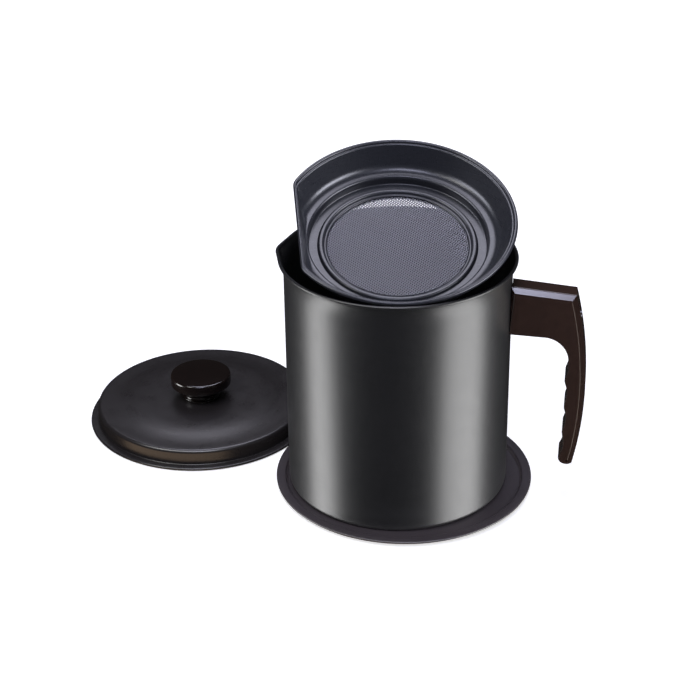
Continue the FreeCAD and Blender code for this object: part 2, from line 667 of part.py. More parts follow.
def make_knob_screw():
    """Pan-head screw and washer under the lid, pointing up into the insert."""
    below = f"({LID_TOP} - Dim.lid_sheet)"
    washer = new_body("knob_washer")
    turned(washer, "knob_washer_ring", [
        ("Dim.knob_screw_radius + Dim.handle_gap / 2", "-(Dim.washer_sheet)"),
        ("Dim.knob_head_radius + Dim.knob_washer_margin", "-(Dim.washer_sheet)"),
        ("Dim.knob_head_radius + Dim.knob_washer_margin", "0"),
        ("Dim.knob_screw_radius + Dim.handle_gap / 2", "0"),
    ])
    place(washer, LID_X, LID_Y, f"{below} - Dim.fit_gap")
    screw = new_body("knob_screw")
    turned(screw, "knob_screw_turned", [
        ("0", "-(Dim.knob_head_height)"),
        ("Dim.knob_head_radius / 2", "-(Dim.knob_head_height)"),
        ("Dim.knob_head_radius", "-(Dim.knob_head_height) / 2"),
        ("Dim.knob_head_radius", "0"),
        ("Dim.knob_screw_radius", "0"),
        ("Dim.knob_screw_radius", "Dim.knob_screw_length"),
        ("0", "Dim.knob_screw_length"),
    ])
    place(screw, LID_X, LID_Y, f"{below} - Dim.washer_sheet - 2 * Dim.fit_gap")


def flat_outline(sketch, radius, flat):
    """Circle with one flat on the -X side and rounded corners where they meet."""
    corner = "Dim.strainer_corner"
    high = f"sqrt(({radius} - {corner}) ^ 2 - ({flat} - {corner}) ^ 2)"
    grown = f"({radius} / ({radius} - {corner}))"
    across = f"{grown} * ({corner} - {flat})"
    corners = [(f"-({flat})", high), (f"-({flat})", f"-({high})"),
               (across, f"-({grown} * {high})"), (across, f"{grown} * {high}")]
    points = [Vector(size(place[0]), size(place[1]), 0) for place in corners]
    upper = Vector(size(corner) - size(flat), size(high), 0)
    lower = Vector(upper.x, -upper.y, 0)
    sketch.addGeometry(Part.LineSegment(points[0], points[1]), False)
    sketch.addGeometry(arc_about(lower, points[1], points[2], size(corner), True)[0], False)
    sketch.addGeometry(arc_about(Vector(), points[2], points[3], size(radius), True)[0], False)
    sketch.addGeometry(arc_about(upper, points[3], points[0], size(corner), True)[0], False)
    for number in range(4):
        sketch.addConstraint(Sketcher.Constraint("Coincident", number, 2, (number + 1) % 4, 1))
    for number, (across, up) in enumerate(corners):
        bind(sketch, Sketcher.Constraint("DistanceX", -1, 1, number, 1, size(across)), across)
        bind(sketch, Sketcher.Constraint("DistanceY", -1, 1, number, 1, size(up)), up)
    bind(sketch, Sketcher.Constraint("Radius", 1, size(corner)), corner)
    bind(sketch, Sketcher.Constraint("Radius", 2, size(radius)), radius)
    bind(sketch, Sketcher.Constraint("Radius", 3, size(corner)), corner)


def pan_wall(body, name, inset, floor, kind):
    """Drafted wall between the rim's outline and the smaller one at the shelf."""
    high = new_sketch(body, name + "_rim", "XY_Plane", "0")
    flat_outline(high, f"({RIM_LINE} - {inset})", f"({FLAT_LINE} - {inset})")
    low = new_sketch(body, name + "_shelf", "XY_Plane", f"{floor} - Dim.strainer_depth")
    flat_outline(low, f"({RIM_LINE} - Dim.strainer_draft - {inset})",
                 f"({FLAT_LINE} - Dim.flat_draft - {inset})")
    loft = body.newObject(kind, name)
    loft.Profile = high
    loft.Sections = [low]
    loft.Ruled = True
    doc.recompute()


def hang_in_mouth(body):
    """Seat a strainer piece on the lip and tip it up about the rim's lowest point."""
    across = f"{RIM_LINE} * cos(Dim.tip_direction * 1 deg)"
    along = f"{RIM_LINE} * sin(Dim.tip_direction * 1 deg)"
    axis = "create(<<vector>>; -sin(Dim.tip_direction * 1 deg); cos(Dim.tip_direction * 1 deg); 0)"
    tip = f"create(<<placement>>; create(<<vector>>; {across}; {along}; {SEAT_HEIGHT});" \
          f" create(<<rotation>>; {axis}; Dim.tip_angle))"
    turn = f"create(<<placement>>; create(<<vector>>; -({across}); -({along}); 0);" \
           f" create(<<rotation>>; create(<<vector>>; 0; 0; 1); Dim.strainer_turn))"
    body.setExpression("Placement", f"{tip} * {turn}")


def make_strainer_pan():
    """Stepped pan: rolled rim with a flat, drafted wall, shelf, sump and raised ring."""
    body = new_body("strainer_pan")
    metal = "Dim.strainer_sheet"
    pan_wall(body, "wall", f"(0 - {metal} / 2)", "0", "PartDesign::AdditiveLoft")
    pan_wall(body, "wall_hollow", f"({metal} / 2)", metal, "PartDesign::SubtractiveLoft")
    opening = new_sketch(body, "sump_opening_profile", "XY_Plane")
    inner = f"({SUMP} - {metal})"
    circle(opening, "0", "0", inner)
    extrude(body, "sump_opening", opening, f"4 * {SUMP_DEPTH}", "PartDesign::Pocket", middle=True)
    floor = f"({metal} - {SUMP_DEPTH})"
    shelf = f"({metal} - Dim.strainer_depth)"
    turned(body, "sump", [
        (inner, shelf),
        (inner, floor),
        (WINDOW, floor),
        (WINDOW, f"0 - {SUMP_DEPTH}"),
        (SUMP, f"0 - {SUMP_DEPTH}"),
        (SUMP, shelf),
    ])
    round_rings(body, "sump_outer_bend", f"2 * {metal}", [(SUMP, f"0 - {SUMP_DEPTH}"), (inner, shelf)])
    round_rings(body, "sump_inner_bend", metal, [(inner, floor)])
    turned(body, "raised_ring", [
        (f"{RING} + Dim.ring_bead", floor, "Dim.ring_bead * 1.02", -1),
        (f"{RING} - Dim.ring_bead", floor),
        (f"{RING} - Dim.ring_bead", f"{floor} - {metal} / 2"),
        (f"{RING} + Dim.ring_bead", f"{floor} - {metal} / 2"),
    ])
    spine = new_sketch(body, "rim_spine", "XY_Plane")
    flat_outline(spine, RIM_LINE, FLAT_LINE)
    bead = new_sketch(body, "rim_bead_profile")
    circle(bead, RIM_LINE, "0", "Dim.strainer_bead")
    rim = body.newObject("PartDesign::AdditivePipe", "rolled_rim")
    rim.Profile = bead
    rim.Spine = (spine, ["Edge1", "Edge2", "Edge3", "Edge4"])
    doc.recompute()
    hang_in_mouth(body)


def make_mesh():
    """Flat wire net with a plain border, held under the pan's window by a clamp ring.

    The net is one holed face, thickened, so its sizes are read from the sheet here."""
    pitch = size("Dim.mesh_pitch")
    window = size(WINDOW)
    gap = pitch - size("Dim.mesh_wire")
    count = int(window / pitch)
    holes = []
    for column in range(-count, count + 1):
        for row in range(-count, count + 1):
            centre = Vector(column * pitch, row * pitch, 0)
            if centre.Length + gap * math.sqrt(0.5) < window:
                holes.append(square(centre, gap))
    rim = Part.Wire(Part.makeCircle(size(MESH)))
    face = Part.Face([rim] + holes)
    mesh = doc.addObject("Part::Feature", "strainer_mesh")
    mesh.Label = "strainer_mesh"
    drop = -size(f"{SUMP_DEPTH} + Dim.mesh_sheet + Dim.fit_gap")
    face.translate(Vector(0, 0, drop))
    mesh.Shape = face.extrude(Vector(0, 0, size("Dim.mesh_sheet")))
    hang_in_mouth(mesh)


def square(centre, side):
    """Wire of one gap of the net, wound the other way from the border."""
    half = side / 2
    signs = [(-1, -1), (-1, 1), (1, 1), (1, -1), (-1, -1)]
    return Part.makePolygon([centre + Vector(across, up, 0) * half for across, up in signs])


def make_clamp():
    """Ring that presses the net against the pan's floor."""
    body = new_body("mesh_clamp")
    floor = f"(0 - {SUMP_DEPTH} - Dim.fit_gap)"
    top = f"({floor} - Dim.mesh_sheet - Dim.fit_gap)"
    outer = f"({RING} + Dim.ring_bead + Dim.clamp_margin)"
    inner = f"({MESH} + Dim.mesh_slack)"
    turned(body, "clamp_ring", [
        (WINDOW, f"{top} - Dim.clamp_sheet"),
        (outer, f"{top} - Dim.clamp_sheet"),
        (outer, floor),
        (inner, floor),
        (inner, top),
        (WINDOW, top),
    ])
    hang_in_mouth(body)


SUBPARTS = [
    "coaster_tray",
    "can_body",
    "handle_bracket",
    "handle_grip",
    "handle_screw",
    "handle_washer",
    "handle_nut",
    "lid_cover",
    "lid_knob",
    "knob_insert",
    "knob_washer",
    "knob_screw",
    "strainer_pan",
    "strainer_mesh",
    "mesh_clamp",
]


def make_all():
    make_tray()
    make_can()
    make_bracket()
    make_grip()
    make_handle_fasteners()
    make_lid()
    make_knob()
    make_strainer_pan()
    make_mesh()
    make_clamp()


def write_all():
    """Check every object and write each sub-part's solid under its own name."""
    doc.recompute()
    failed = [item.Name for item in doc.Objects if {"Invalid", "Error"} & set(item.State)]
    if failed:
        raise SystemExit(f"these objects failed: {failed}")
    pieces = {item.Label: item for item in doc.Objects if item.Label in SUBPARTS}
    for label in SUBPARTS:
        if pieces[label].Shape.isNull() or not pieces[label].Shape.isValid():
            raise SystemExit(f"{label} has no valid shape")
    os.makedirs("parts", exist_ok=True)
    for label in SUBPARTS:
        shape = pieces[label].Shape
        shape.exportStep(f"parts/{label}.step")
        print(label, len(shape.Solids), "solid", round(shape.Volume), "mm3")


make_all()
write_all()
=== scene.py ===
import json
import math

import bmesh
import bpy
from mathutils import Matrix, Vector


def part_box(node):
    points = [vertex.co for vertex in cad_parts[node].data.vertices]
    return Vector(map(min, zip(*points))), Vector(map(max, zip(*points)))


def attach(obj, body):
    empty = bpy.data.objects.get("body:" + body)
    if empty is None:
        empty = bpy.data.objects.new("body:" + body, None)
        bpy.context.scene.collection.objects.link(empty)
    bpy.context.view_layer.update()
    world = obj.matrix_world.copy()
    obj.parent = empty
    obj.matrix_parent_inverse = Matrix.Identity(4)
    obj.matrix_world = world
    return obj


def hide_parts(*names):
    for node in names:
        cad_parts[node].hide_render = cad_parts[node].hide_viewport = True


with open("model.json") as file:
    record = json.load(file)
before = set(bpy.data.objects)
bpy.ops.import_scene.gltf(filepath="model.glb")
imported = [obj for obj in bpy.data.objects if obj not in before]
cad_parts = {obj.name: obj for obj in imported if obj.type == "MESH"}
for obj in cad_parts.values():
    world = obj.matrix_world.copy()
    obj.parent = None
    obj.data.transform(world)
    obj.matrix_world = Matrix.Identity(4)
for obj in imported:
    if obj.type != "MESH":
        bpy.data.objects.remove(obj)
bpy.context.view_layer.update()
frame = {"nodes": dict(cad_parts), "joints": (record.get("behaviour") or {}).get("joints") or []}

MM = 0.001
TURN = 2 * math.pi

# Can
CAN_RADIUS = 65.0
CAN_HEIGHT = 146.0
CAN_SHEET = 0.8
CAN_BASE = 0.7
FOOT_RADIUS = 57.0
FOOT_RISE = 1.5
FOOT_SLOPE = 3.0
FOOT_SLOPE_BEND = 2.0
FOOT_BEND = 4.0
FLARE_HEIGHT = 14.0
FLARE_STEPS = 12
FLARE_CURVE = 2.4
LIP_RADIUS = 68.0
LIP_BEAD = 1.0
SPOUT_LEAD = 2.0
SPOUT_CURVE = 1.6
SPOUT_TIP_RADIUS = 18.4

# First angle and sweep of each rolled edge, in degrees
LIP_ROLL = (165, -290)
FLANGE_ROLL = (90, -300)
RIM_ROLL = (190, -290)

# Longest straight run of a spun profile, so that flat sheet has even faces
LONGEST_RUN = 6.0

# Tray, whose centre is a little to the side of the can's axis
TRAY_X = 3.894
TRAY_Y = -1.573
RECESS_RADIUS = 69.8
TRAY_SLOPE = 0.8
TRAY_RADIUS = 76.4
TRAY_RISE = 3.4
TRAY_SHEET = 0.6
TRAY_BEND = 0.9
TRAY_BEAD = 0.8

# Lid
LID_RADIUS = 71.1
LID_PLATE = 66.2
LID_HEIGHT = 11.4
LID_CROWN = 1.6
LID_CROWN_RADIUS = 41.5
LID_SLOPE = 13.5
LID_SLOPE_BEND = 100.0
LID_SHEET = 0.6
LID_BEND = 1.9
LID_SKIRT_BEND = 0.9
LID_BEAD = 0.9

# Knob: radii, heights over the lid, and the rounding of each corner from the foot to the dome
KNOB_RADIUS = 19.0
KNOB_RISE = 17.0
KNOB_DOME = 1.0
KNOB_BAND_RISE = 9.6
KNOB_UNDERCUT = 1.5
KNOB_FLARE_RISE = 8.4
KNOB_NECK = 12.3
KNOB_NECK_RISE = 6.4
KNOB_WAIST = 10.5
KNOB_WAIST_RISE = 2.4
KNOB_FOOT = 12.0
KNOB_FOOT_RISE = 1.2
KNOB_BENDS = (0.4, 0.6, 1.5, 4, 0.7, 0.7, 1.5, 100)

# Strainer
RIM_LINE = 65.2
RIM_BEAD = 1.2
RIM_LAND = 2.0
RIM_HOOK = 0.9
RIM_DROP = 0.5
RIM_BEND = 0.7
PAN_SHEET = 0.8
PAN_FLAT = 55.4
PAN_CORNER = 10.0
PAN_CORNER_TAPER = 0.2
PAN_DEPTH = 15.0
PAN_DRAFT = 8.4
PAN_BEND = 7.0
FLAT_DRAFT = 3.2
SUMP_RADIUS = 51.4
SUMP_DEPTH = 20.5
SUMP_BEND = 1.2
RING_RADIUS = 43.4
RING_BEAD = 1.7
RING_BEND = 0.9
RING_FOOT_BEND = 0.8
WINDOW_RADIUS = 40.0
MESH_RADIUS = 41.8
MESH_DROP = 0.4
WEAVE_PITCH = 1.0
WIRE_RADIUS = 0.3
STRAINER_TURN = 13.4

# Handle
HANDLE_TOP = 131.8
HANDLE_FALL = 3.2
ROOT_RISE = 0.05
HANDLE_WIDTH = 17.0
HANDLE_BEVEL = 3.0
HANDLE_INNER_BEVEL = 0.15
HANDLE_SEAT = 0.6
HANDLE_WALL_GAP = 0.2
ARM_LENGTH = 36.3
ARM_DEPTH = 29.0
CROTCH_SET = 1.5
CROTCH_DROP = 16.0
CROTCH_RADIUS = 14.6
CROTCH_HEAD = 83.1
CROTCH_HEAD_DROP = 0.7
GRIP_BACK = 109.0
GRIP_FRONT = 97.0
GRIP_TIP = 16.0
BACK_RADIUS = 236.0
TIP_RADIUS = 5.4
TIP_RISE = 3.0
TOE_RISE = 8.0
TOE_LEAD = 1.5
RIDGE_COUNT = 4
RIDGE_PITCH = 17.0
GROOVE_RADIUS = 20.0
BORE_RADIUS = 5.2
BORE_CHAMFER = 0.3
BORE_FLOOR = 95.0
BORE_END = 115.0
SHARP_ANGLE = 40.0

# Least divisor of a mitred step, which keeps sharp corners from shooting out
MITRE_LIMIT = 0.4

# Rows of the handle's side: step in from the outline and from the side face, as shares of the bevel
BEVEL_ROWS = ((1.5, 0), (1.1, 0), (1.0, 0.03), (0.88, 0.12), (0.78, 0.22),
              (0.22, 0.78), (0.12, 0.88), (0.03, 0.97), (0, 1.1), (0, 1.6))

# Camera fitted to the photograph: distance in can radii, angles in degrees, focal length in pixels
CAMERA_DISTANCE = 15.9218
CAMERA_RISE = 32.29
CAMERA_YAW = -2.19
CAMERA_PITCH = 27.83
CAMERA_ROLL = -0.89
HANDLE_TURN = 7.0
FOCAL_LENGTH = 1706.9
PHOTO_WIDTH = 680
SENSOR_WIDTH = 36.0

# Floor: its size in metres, its gap under the part in millimetres, and the glow that the camera
# sees of it, from GLOW_NEAR at FADE_START metres from the can's axis to GLOW_FAR at FADE_END
FLOOR_SIZE = 8
FLOOR_GAP = 0.2
FADE_START = 0.25
FADE_END = 0.8
GLOW_NEAR = 0.58
GLOW_FAR = 1.0

# Brightness of the world, to the part and to the camera
WORLD_FILL = 0.02
WORLD_SEEN = 1.0


def joint(name):
    return next(item for item in frame["joints"] if item["name"] == name)


# Profiles

def arc_points(centre, radius, start, end, steps):
    """Points on an arc from one angle to another, in degrees."""
    points = []
    for number in range(steps + 1):
        angle = math.radians(start + (end - start) * number / steps)
        points.append((centre[0] + radius * math.cos(angle), centre[1] + radius * math.sin(angle)))
    return points


def bend(points, radii, steps=6):
    """Polyline with each inner corner rounded to its radius."""
    path = [points[0]]
    for before, corner, after, radius in zip(points, points[1:], points[2:], radii):
        into = (Vector(corner) - Vector(before)).normalized()
        out = (Vector(after) - Vector(corner)).normalized()
        turn = into.angle(out, 0)
        if radius < 1e-6 or turn < 1e-3:
            path.append(corner)
            continue
        reach = radius * math.tan(turn / 2)
        side = 1 if into.x * out.y - into.y * out.x > 0 else -1
        normal = Vector((-into.y, into.x)) * side
        centre = Vector(corner) - into * reach + normal * radius
        first = math.atan2(-normal.y, -normal.x)
        for number in range(steps + 1):
            angle = first + side * turn * number / steps
            path.append((centre.x + radius * math.cos(angle), centre.y + radius * math.sin(angle)))
    path.append(points[-1])
    return path


def divide(points, longest):
    """Polyline with extra points so that no run is longer than a given length."""
    path = [points[0]]
    for start, end in zip(points, points[1:]):
        count = max(1, math.ceil(math.dist(start, end) / longest))
        for number in range(1, count + 1):
            share = number / count
            path.append((start[0] + (end[0] - start[0]) * share, start[1] + (end[1] - start[1]) * share))
    return path


def thicken(path, metal):
    """Two runs of points, half the metal's thickness to the left and to the right of a path."""
    left, right = [], []
    for number, point in enumerate(path):
        ahead = Vector(path[min(number + 1, len(path) - 1)])
        behind = Vector(path[max(number - 1, 0)])
        along = (ahead - behind).normalized()
        normal = Vector((-along.y, along.x)) * metal / 2
        left.append((point[0] + normal.x, point[1] + normal.y))
        right.append((point[0] - normal.x, point[1] - normal.y))
    return left, right


def loop_mesh(name, loops, capped=False):
    """Skin over rings of equally many points; a ring of one point closes a pole."""
    shape = bmesh.new()
    rings = [[shape.verts.new(Vector(point) * MM) for point in ring] for ring in loops]
    for low, high in zip(rings, rings[1:]):
        count = max(len(low), len(high))
        for number in range(count):
            following = (number + 1) % count
            corners = [low[number % len(low)], low[following % len(low)],
                       high[following % len(high)], high[number % len(high)]]
            unique = list(dict.fromkeys(corners))
            if len(unique) > 2:
                shape.faces.new(unique)
    if capped:
        shape.faces.new(rings[0])
        shape.faces.new(rings[-1])
    bmesh.ops.remove_doubles(shape, verts=shape.verts, dist=1e-7)
    bmesh.ops.recalc_face_normals(shape, faces=shape.faces)
    mesh = bpy.data.meshes.new(name)
    shape.to_mesh(mesh)
    shape.free()
    mesh.shade_smooth()
    piece = bpy.data.objects.new(name, mesh)
    bpy.context.scene.collection.objects.link(piece)
    return piece


def spun(name, path, centre=(0, 0), segments=192):
    """Body of revolution from a path of (radius, height) that starts and ends on its axis."""
    angles = [TURN * number / segments for number in range(segments)]
    loops = []
    for radius, height in path:
        if radius < 1e-6:
            loops.append([(centre[0], centre[1], height)])
        else:
            loops.append([(centre[0] + radius * math.cos(angle),
                           centre[1] + radius * math.sin(angle), height) for angle in angles])
    return loop_mesh(name, loops)


def sheet_loop(path, metal):
    """Both faces of sheet metal along a path that starts on the axis."""
    left, right = thicken(path, metal)
    loop = left + right[::-1]
    loop[0] = (0, loop[0][1])
    loop[-1] = (0, loop[-1][1])
    return loop


def rolled_edge(centre, radius, start, sweep, steps=20):
    """Middle line of sheet rolled round a centre."""
    return arc_points(centre, radius, start, start + sweep, steps)


# Outlines of the can's mouth and the strainer's rim, as a radius at each angle from -X

def spout_reach(angle, main, tip, lead):
    """Radius of a circle drawn out to a rounded tip."""
    pitch = main - tip + lead
    if lead < 1e-6:
        return main
    lean = math.acos((main - tip) / pitch)
    nose = math.atan2(tip * math.sin(lean), pitch + tip * math.cos(lean))
    angle = abs(angle)
    if angle > lean:
        return main
    if angle > nose:
        return main / math.cos(angle - lean)
    return pitch * math.cos(angle) + math.sqrt(tip ** 2 - (pitch * math.sin(angle)) ** 2)


def flat_reach(angle, main, flat, corner):
    """Radius of a circle with one flat and rounded corners."""
    across = flat - corner
    up = math.sqrt((main - corner) ** 2 - across ** 2)
    angle = abs(angle)
    if angle < math.atan2(up, flat):
        return flat / math.cos(angle)
    if angle < math.atan2(up, across):
        along = across * math.cos(angle) + up * math.sin(angle)
        return along + math.sqrt(corner ** 2 - (across ** 2 + up ** 2 - along ** 2))
    return main


def from_left(number, segments):
    """Angle of a step round the piece, measured from -X and from -180 to 180 degrees."""
    return TURN * number / segments - math.pi


def wrapped(name, loop, reach, segments=256):
    """Skin whose rings follow reach(angle, radius, height) at each (radius, height) of a loop."""
    loops = []
    for radius, height in loop:
        if radius < 1e-6:
            loops.append([(0, 0, height)])
            continue
        ring = []
        for number in range(segments):
            angle = from_left(number, segments)
            away = reach(angle, radius, height)
            ring.append((-away * math.cos(angle), -away * math.sin(angle), height))
        loops.append(ring)
    return loop_mesh(name, loops)


# Pieces

def middle(node):
    """Centre of a CAD node's box in plan, in millimetres."""
    low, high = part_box(node)
    return (low.x + high.x) / 2 / MM, (low.y + high.y) / 2 / MM


def make_can():
    """Wall, raised bottom, trumpet mouth with its spout, and the lip rolled outwards."""
    half = CAN_SHEET / 2
    wall = CAN_RADIUS - half
    base = CAN_BASE + half
    flare_base = CAN_HEIGHT - FLARE_HEIGHT
    neck = LIP_RADIUS - 2 * LIP_BEAD + half
    corners = [(0, base + FOOT_RISE), (FOOT_RADIUS - FOOT_SLOPE, base + FOOT_RISE), (FOOT_RADIUS, base),
               (wall, base), (wall, flare_base)]
    path = bend(corners, [FOOT_SLOPE_BEND, FOOT_SLOPE_BEND, FOOT_BEND - half])
    for number in range(1, FLARE_STEPS + 1):
        share = number / FLARE_STEPS
        path.append((wall + (neck - wall) * share ** FLARE_CURVE,
                     flare_base + (FLARE_HEIGHT - LIP_BEAD) * share))
    path += rolled_edge((LIP_RADIUS - LIP_BEAD, CAN_HEIGHT - LIP_BEAD), LIP_BEAD - half, *LIP_ROLL)

    def reach(angle, radius, height):
        if radius <= FOOT_RADIUS:
            return radius
        share = max(0.0, min(1.0, (height - flare_base) / (FLARE_HEIGHT - 2 * LIP_BEAD)))
        tip = SPOUT_TIP_RADIUS - LIP_RADIUS + radius
        return spout_reach(angle, radius, tip, SPOUT_LEAD * share ** SPOUT_CURVE)

    return wrapped("can_shell", sheet_loop(path, CAN_SHEET), reach)


def make_tray():
    """Flat recess for the can, short slope, flange and rolled edge."""
    half = TRAY_SHEET / 2
    edge = TRAY_RADIUS - TRAY_BEAD
    top = TRAY_RISE - half
    corners = [(0, half), (RECESS_RADIUS + half, half),
               (RECESS_RADIUS + TRAY_SLOPE + half, top), (edge, top)]
    path = bend(corners, [TRAY_BEND, TRAY_BEND])[:-1]
    path += rolled_edge((edge, TRAY_RISE - TRAY_BEAD), TRAY_BEAD - half, *FLANGE_ROLL)
    return spun("tray_shell", sheet_loop(divide(path, LONGEST_RUN), TRAY_SHEET), (TRAY_X, TRAY_Y))


def make_lid():
    """Shallow crown, plate, skirt, flange and rolled edge."""
    half = LID_SHEET / 2
    edge = LID_RADIUS - LID_BEAD
    top = LID_HEIGHT - half
    crown = top + LID_CROWN
    flange = 2 * LID_BEAD - half
    corners = [(0, crown), (LID_CROWN_RADIUS, crown), (LID_CROWN_RADIUS + LID_SLOPE, top),
               (LID_PLATE - half, top), (LID_PLATE - half, flange), (edge, flange)]
    path = bend(corners, [LID_SLOPE_BEND, LID_SLOPE_BEND, LID_BEND, LID_SKIRT_BEND], steps=12)[:-1]
    path += rolled_edge((edge, LID_BEAD), LID_BEAD - half, *FLANGE_ROLL)
    return spun("lid_shell", sheet_loop(divide(path, LONGEST_RUN), LID_SHEET), middle("lid_cover"))


def make_knob():
    """Mushroom knob: foot, waist, flared underside, band and slightly domed top."""
    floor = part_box("lid_knob")[0].z / MM
    corners = [(0, 0), (KNOB_FOOT, 0), (KNOB_FOOT, KNOB_FOOT_RISE), (KNOB_WAIST, KNOB_WAIST_RISE),
               (KNOB_NECK, KNOB_NECK_RISE), (KNOB_RADIUS - KNOB_UNDERCUT, KNOB_FLARE_RISE),
               (KNOB_RADIUS, KNOB_BAND_RISE), (KNOB_RADIUS, KNOB_RISE - KNOB_DOME),
               (KNOB_RADIUS / 2, KNOB_RISE - KNOB_DOME / 4), (0, KNOB_RISE)]
    path = [(radius, floor + height) for radius, height in bend(corners, KNOB_BENDS, steps=8)]
    return spun("lid_knob_moulding", path, middle("lid_cover"))


def pan_place():
    """Matrix from the strainer's own level frame to its tipped place in the can's mouth."""
    tip = joint("strainer_tip")
    pivot = Vector(tip["pos_m"])
    axis = Vector(tip["axis"])
    lift = Matrix.Rotation(math.radians(-tip["range_deg"][0]), 4, axis)
    turn = Matrix.Rotation(math.radians(STRAINER_TURN), 4, "Z")
    return Matrix.Translation(pivot) @ lift @ Matrix.Translation((-pivot.x, -pivot.y, 0)) @ turn


def make_pan():
    """Strainer pan: rolled rim with one flat, drafted wall, shelf, sump, raised ring, window."""
    half = PAN_SHEET / 2
    shelf = -PAN_DEPTH + half
    floor = -SUMP_DEPTH + half
    wall_foot = RIM_LINE - PAN_DRAFT
    corners = [(WINDOW_RADIUS, floor), (RING_RADIUS - RING_BEAD, floor),
               (RING_RADIUS - RING_BEAD / 2, floor + RING_BEAD),
               (RING_RADIUS + RING_BEAD / 2, floor + RING_BEAD),
               (RING_RADIUS + RING_BEAD, floor), (SUMP_RADIUS - half, floor), (SUMP_RADIUS - half, shelf),
               (wall_foot, shelf), (RIM_LINE - RIM_LAND, -RIM_DROP), (RIM_LINE - RIM_HOOK, -RIM_DROP)]
    radii = [RING_FOOT_BEND, RING_BEND, RING_BEND, RING_FOOT_BEND, SUMP_BEND, SUMP_BEND, PAN_BEND, RIM_BEND]
    path = bend(corners, radii, steps=10) + rolled_edge((RIM_LINE, 0), RIM_BEAD - half, *RIM_ROLL)
    left, right = thicken(path, PAN_SHEET)
    loop = left + right[::-1] + left[:1]

    def reach(angle, radius, height):
        if radius <= SUMP_RADIUS:
            return radius
        share = min(1.0, (radius - SUMP_RADIUS) / (wall_foot - SUMP_RADIUS))
        inset = radius - RIM_LINE
        draft = max(0.0, min(1.0, -inset / PAN_DRAFT))
        flat = PAN_FLAT + inset + draft * (PAN_DRAFT - FLAT_DRAFT)
        corner = PAN_CORNER + min(0.0, inset) * PAN_CORNER_TAPER
        return radius + (flat_reach(angle, radius, flat, corner) - radius) * share

    piece = wrapped("strainer_pan_shell", loop, reach, segments=320)
    piece.data.transform(pan_place())
    return piece


def chord_arc(start, end, radius, steps=16, inward=False):
    """Points of the short arc between two points that bulges left of the way, or right of it."""
    first, last = Vector(start), Vector(end)
    side = -1 if inward else 1
    chord = last - first
    left = Vector((-chord.y, chord.x)).normalized()
    back = math.sqrt(radius ** 2 - (chord.length / 2) ** 2)
    centre = (first + last) / 2 - left * back * side
    begin = math.atan2(first.y - centre.y, first.x - centre.x)
    sweep = -2 * math.asin(chord.length / 2 / radius) * side
    return [(centre.x + radius * math.cos(begin + sweep * number / steps),
             centre.y + radius * math.sin(begin + sweep * number / steps)) for number in range(steps + 1)]


def soften(points, rounds):
    """Open run of points, each inner one drawn towards its neighbours a few times."""
    for _ in range(rounds):
        inner = [((before[0] + 2 * here[0] + after[0]) / 4, (before[1] + 2 * here[1] + after[1]) / 4)
                 for before, here, after in zip(points, points[1:], points[2:])]
        points = points[:1] + inner + points[-1:]
    return points


def handle_outline():
    """Side outline of the handle in the XZ plane, with the share of the bevel at each point."""
    under = HANDLE_TOP - ARM_DEPTH
    root = CAN_RADIUS - HANDLE_SEAT
    corner = (CAN_RADIUS + ARM_LENGTH, HANDLE_TOP - HANDLE_FALL)
    heel = (GRIP_BACK - TIP_RADIUS, GRIP_TIP + TIP_RISE)
    crotch = (GRIP_FRONT + CROTCH_SET, under - CROTCH_DROP)
    head = (CROTCH_HEAD, under - CROTCH_HEAD_DROP)
    ridges = [(GRIP_FRONT - TOE_LEAD * (1 - number / 2) ** 2, GRIP_TIP + TOE_RISE + RIDGE_PITCH * number)
              for number in range(RIDGE_COUNT)]
    outer = [(root, HANDLE_TOP + ROOT_RISE)] + chord_arc(corner, heel, BACK_RADIUS, steps=40)
    tip = chord_arc(heel, ridges[0], TIP_RADIUS, steps=14)[1:]
    front = ridges[:1]
    for low, high in zip(ridges, ridges[1:] + [crotch]):
        front += chord_arc(low, high, GROOVE_RADIUS, inward=True)[1:]
    front = soften(front, rounds=3)[1:] + chord_arc(crotch, head, CROTCH_RADIUS, inward=True)[1:]
    front.append((root, under))
    points = [(x, z, 1.0) for x, z in outer]
    for number, (x, z) in enumerate(tip, 1):
        points.append((x, z, 1.0 - (1.0 - HANDLE_INNER_BEVEL) * number / len(tip)))
    return points + [(x, z, HANDLE_INNER_BEVEL) for x, z in front]


def outward(points):
    """Mitred unit step out of a clockwise closed outline at each of its points."""
    steps = []
    for before, here, after in zip(points[-1:] + points[:-1], points, points[1:] + points[:1]):
        into = Vector((here[1] - before[1], before[0] - here[0])).normalized()
        out = Vector((after[1] - here[1], here[0] - after[0])).normalized()
        steps.append((into + out) / -max(MITRE_LIMIT, 1 + into.dot(out)))
    return steps


def make_grip():
    """Moulded handle: its outline drawn in towards both sides by a softened flat bevel."""
    outline = handle_outline()
    steps = outward([point[:2] for point in outline])
    layers = [(inset, 1, drop) for inset, drop in BEVEL_ROWS] + [(0, 0, 0)]
    layers += [(inset, -1, drop) for inset, drop in BEVEL_ROWS[::-1]]
    loops = []
    for inset, side, drop in layers:
        ring = []
        for (x, z, share), step in zip(outline, steps):
            y = side * (HANDLE_WIDTH / 2 - HANDLE_BEVEL * share * drop)
            away = HANDLE_BEVEL * inset * share
            seat = math.sqrt((CAN_RADIUS + HANDLE_WALL_GAP) ** 2 - y ** 2)
            ring.append((max(x - step.x * away, seat), y, z - step.y * away))
        loops.append(ring)
    return carve(loop_mesh("handle_moulding", loops, capped=True), screw_recess())


